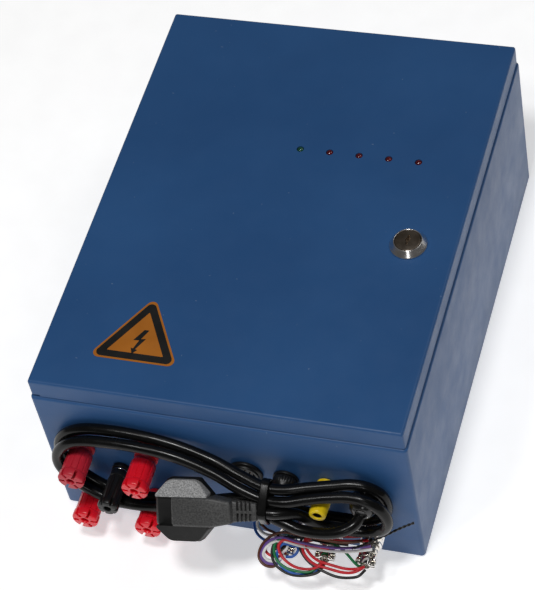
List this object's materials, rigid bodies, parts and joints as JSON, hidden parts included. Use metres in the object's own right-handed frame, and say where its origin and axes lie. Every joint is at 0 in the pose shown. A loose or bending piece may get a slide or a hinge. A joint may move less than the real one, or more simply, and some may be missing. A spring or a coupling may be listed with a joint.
{
  "type": "electric fence energizer",
  "caption": "Wall-mounted fence energizer: painted steel cabinet with a hinged, locked door, indicators, fence posts on its lower panel, a tied mains lead and cable plugs.",
  "frame": {"origin": "centre of the cabinet's back face, which goes against the wall", "axes": "+Z out of the door, +X towards the lock side, -Y out of the terminal panel (downwards when it hangs on the wall)"},
  "size_m": [0.25, 0.3824, 0.1415],
  "materials": {
    "blue_paint": "satin powder coat",
    "zinc": "bright zinc plate",
    "chrome": "polished",
    "bronze": "dark bright plate",
    "brass": "machined",
    "red_plastic": "moulded",
    "yellow_plastic": "moulded",
    "black_plastic": "moulded",
    "black_pvc": "glossy flexible sheath",
    "foam_rubber": "matte foam",
    "circuit_board": "solder resist",
    "resin": "cast",
    "core_steel": "varnished laminations",
    "capacitor_sleeve": "shrink sleeve",
    "battery_case": "moulded",
    "orange_film": "printed film",
    "green_lens": "clear tinted lens",
    "red_lens": "clear tinted lens",
    "clear_glass": "clear",
    "lead_pvc": "coloured flexible insulation"
  },
  "bodies": {
    "cabinet": {"cabinet_shell": "blue_paint", "mounting_plate": "zinc", "battery_strap": "zinc", "hinge_pin_upper": "zinc", "hinge_pin_lower": "zinc", "main_board": "circuit_board", "pulse_transformer": "resin", "mains_transformer": "core_steel", "storage_capacitor": "capacitor_sleeve", "backup_battery": "battery_case", "tamper_switch": "black_plastic", "out_pos_post": "red_plastic", "out_neg_post": "red_plastic", "in_pos_post": "red_plastic", "in_neg_post": "red_plastic", "ground_post": "black_plastic", "shield_post": "yellow_plastic", "io_socket": "black_plastic", "fuse_holder": "black_plastic", "power_gland": "black_plastic", "cord_tie": "black_plastic", "mains_plug": "black_plastic", "lead_plug_1": "chrome", "lead_bundle_1": "lead_pvc", "lead_plug_2": "chrome", "lead_bundle_2": "lead_pvc", "lead_plug_3": "chrome", "lead_bundle_3": "lead_pvc", "power_cord": "black_pvc"},
    "door": {"door_panel": "blue_paint", "door_gasket": "foam_rubber", "led_board": "circuit_board", "led_power": "green_lens", "led_armed": "red_lens", "led_open_line": "red_lens", "led_short": "red_lens", "led_tamper": "red_lens", "warning_label": "orange_film", "lock_housing": "chrome", "lock_nut": "zinc"},
    "lock": {"lock_core": "bronze", "lock_cam": "zinc", "cam_screw": "zinc"},
    "plunger": {"tamper_plunger": "red_plastic"},
    "fuse": {"fuse_cap": "black_plastic", "fuse_link": "clear_glass"},
    "shield_nut": {"shield_knob": "yellow_plastic"},
    "out_pos_clamp": {"out_pos_washer": "brass"},
    "out_pos_nut": {"out_pos_knob": "red_plastic"},
    "out_neg_clamp": {"out_neg_washer": "brass"},
    "out_neg_nut": {"out_neg_knob": "red_plastic"},
    "in_pos_clamp": {"in_pos_washer": "brass"},
    "in_pos_nut": {"in_pos_knob": "red_plastic"},
    "in_neg_clamp": {"in_neg_washer": "brass"},
    "in_neg_nut": {"in_neg_knob": "red_plastic"},
    "ground_clamp": {"ground_washer": "brass"},
    "ground_nut": {"ground_knob": "black_plastic"},
    "ring_1": {"coupling_ring_1": "chrome"},
    "ring_2": {"coupling_ring_2": "chrome"},
    "ring_3": {"coupling_ring_3": "chrome"}
  },
  "joints": [
    {"name": "door_hinge", "type": "hinge", "parent": "cabinet", "child": "door", "pos_m": [-0.1188, 0, 0.13], "axis": [0, -1, 0], "range_deg": [0, 105]},
    {"name": "lock_turn", "type": "hinge", "parent": "door", "child": "lock", "pos_m": [0.092, -0.018, 0.1365], "axis": [0, 0, 1], "range_deg": [0, 90]},
    {"name": "tamper_press", "type": "slide", "parent": "cabinet", "child": "plunger", "axis": [0, 0, 1], "range_m": [-0.003, 0], "stiffness_N_per_m": 150, "springref_m": 0.003},
    {"name": "fuse_turn", "type": "hinge", "parent": "cabinet", "child": "fuse", "pos_m": [0.0405, -0.166, 0.071], "axis": [0, -1, 0], "range_deg": [0, 45]},
    {"name": "shield_turn", "type": "hinge", "parent": "cabinet", "child": "shield_nut", "pos_m": [0.0675, -0.166, 0.071], "axis": [0, -1, 0], "range_deg": [0, 360]},
    {"name": "out_pos_lift", "type": "slide", "parent": "cabinet", "child": "out_pos_clamp", "axis": [0, -1, 0], "range_m": [0, 0.004]},
    {"name": "out_pos_turn", "type": "hinge", "parent": "out_pos_clamp", "child": "out_pos_nut", "pos_m": [-0.098, -0.166, 0.072], "axis": [0, -1, 0], "range_deg": [0, 1443]},
    {"name": "out_neg_lift", "type": "slide", "parent": "cabinet", "child": "out_neg_clamp", "axis": [0, -1, 0], "range_m": [0, 0.004]},
    {"name": "out_neg_turn", "type": "hinge", "parent": "out_neg_clamp", "child": "out_neg_nut", "pos_m": [-0.098, -0.166, 0.026], "axis": [0, -1, 0], "range_deg": [0, 1443]},
    {"name": "in_pos_lift", "type": "slide", "parent": "cabinet", "child": "in_pos_clamp", "axis": [0, -1, 0], "range_m": [0, 0.004]},
    {"name": "in_pos_turn", "type": "hinge", "parent": "in_pos_clamp", "child": "in_pos_nut", "pos_m": [-0.054, -0.166, 0.072], "axis": [0, -1, 0], "range_deg": [0, 1443]},
    {"name": "in_neg_lift", "type": "slide", "parent": "cabinet", "child": "in_neg_clamp", "axis": [0, -1, 0], "range_m": [0, 0.004]},
    {"name": "in_neg_turn", "type": "hinge", "parent": "in_neg_clamp", "child": "in_neg_nut", "pos_m": [-0.054, -0.166, 0.026], "axis": [0, -1, 0], "range_deg": [0, 1443]},
    {"name": "ground_lift", "type": "slide", "parent": "cabinet", "child": "ground_clamp", "axis": [0, -1, 0], "range_m": [0, 0.004]},
    {"name": "ground_turn", "type": "hinge", "parent": "ground_clamp", "child": "ground_nut", "pos_m": [-0.075, -0.166, 0.053], "axis": [0, -1, 0], "range_deg": [0, 1443]},
    {"name": "ring_1_turn", "type": "hinge", "parent": "cabinet", "child": "ring_1", "pos_m": [0.0405, -0.166, 0.026], "axis": [0, -1, 0], "range_deg": [0, 360]},
    {"name": "ring_2_turn", "type": "hinge", "parent": "cabinet", "child": "ring_2", "pos_m": [0.0675, -0.166, 0.026], "axis": [0, -1, 0], "range_deg": [0, 360]},
    {"name": "ring_3_turn", "type": "hinge", "parent": "cabinet", "child": "ring_3", "pos_m": [0.0945, -0.166, 0.026], "axis": [0, -1, 0], "range_deg": [0, 360]}
  ],
  "couplings": [
    {"joint": "out_pos_turn", "follows": "out_pos_lift", "rad_per_m": 6283.2},
    {"joint": "out_neg_turn", "follows": "out_neg_lift", "rad_per_m": 6283.2},
    {"joint": "in_pos_turn", "follows": "in_pos_lift", "rad_per_m": 6283.2},
    {"joint": "in_neg_turn", "follows": "in_neg_lift", "rad_per_m": 6283.2},
    {"joint": "ground_turn", "follows": "ground_lift", "rad_per_m": 6283.2}
  ]
}
